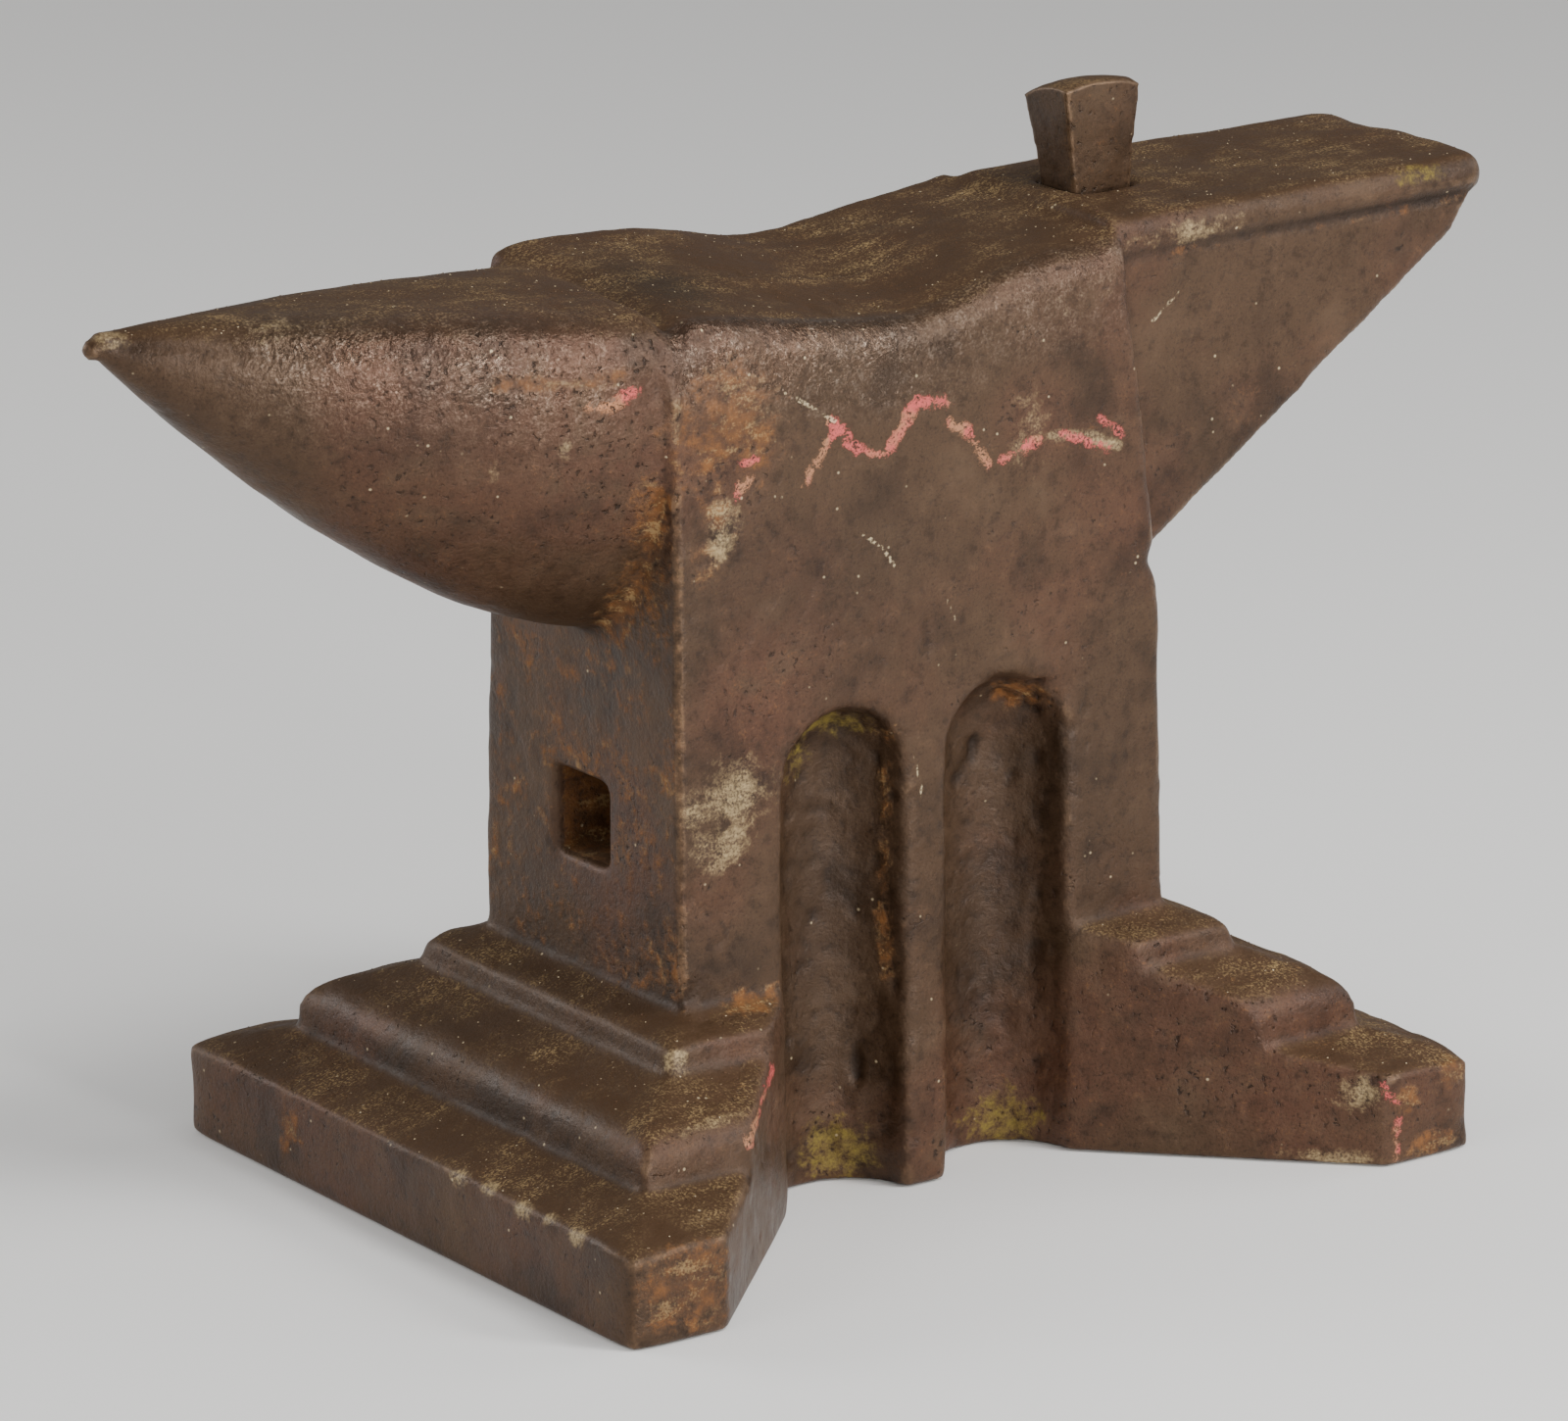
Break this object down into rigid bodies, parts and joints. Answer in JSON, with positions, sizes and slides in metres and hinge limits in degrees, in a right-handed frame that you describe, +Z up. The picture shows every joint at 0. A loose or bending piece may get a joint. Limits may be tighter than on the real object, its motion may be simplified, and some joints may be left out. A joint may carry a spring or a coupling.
{
  "type": "anvil",
  "caption": "Old forged double-ended anvil with arched niches in its waist, stepped feet, a horn, a wedge heel and a loose square tool in the hardy hole.",
  "frame": {"origin": "on the ground, in the middle of the base's footprint", "axes": "+X along the heel, -X along the horn, +Y away from the front side, +Z up"},
  "size_m": [0.6233, 0.322, 0.4193],
  "materials": {
    "forged_iron": "red-brown rust patina with thin old paint, satin where it is rubbed",
    "foot_iron": "dark brown rust patina with sandy dust on the upward faces and orange rust at the edges",
    "steel_face": "dark brown steel, dusty on top and polished grey on the worn front edge",
    "tool_steel": "smooth dark brown steel"
  },
  "bodies": {
    "anvil": {"body_core": "forged_iron", "foot_front_left": "foot_iron", "foot_front_right": "foot_iron", "foot_back_left": "foot_iron", "foot_back_right": "foot_iron", "horn": "forged_iron", "heel": "forged_iron", "face_plate": "steel_face", "heel_plate": "steel_face"},
    "hardy_tool": {"hardy_tool": "tool_steel"}
  },
  "joints": [
    {"name": "hardy_tool_lift", "type": "slide", "parent": "anvil", "child": "hardy_tool", "axis": [0, 0, 1], "range_m": [0, 0.08]}
  ]
}
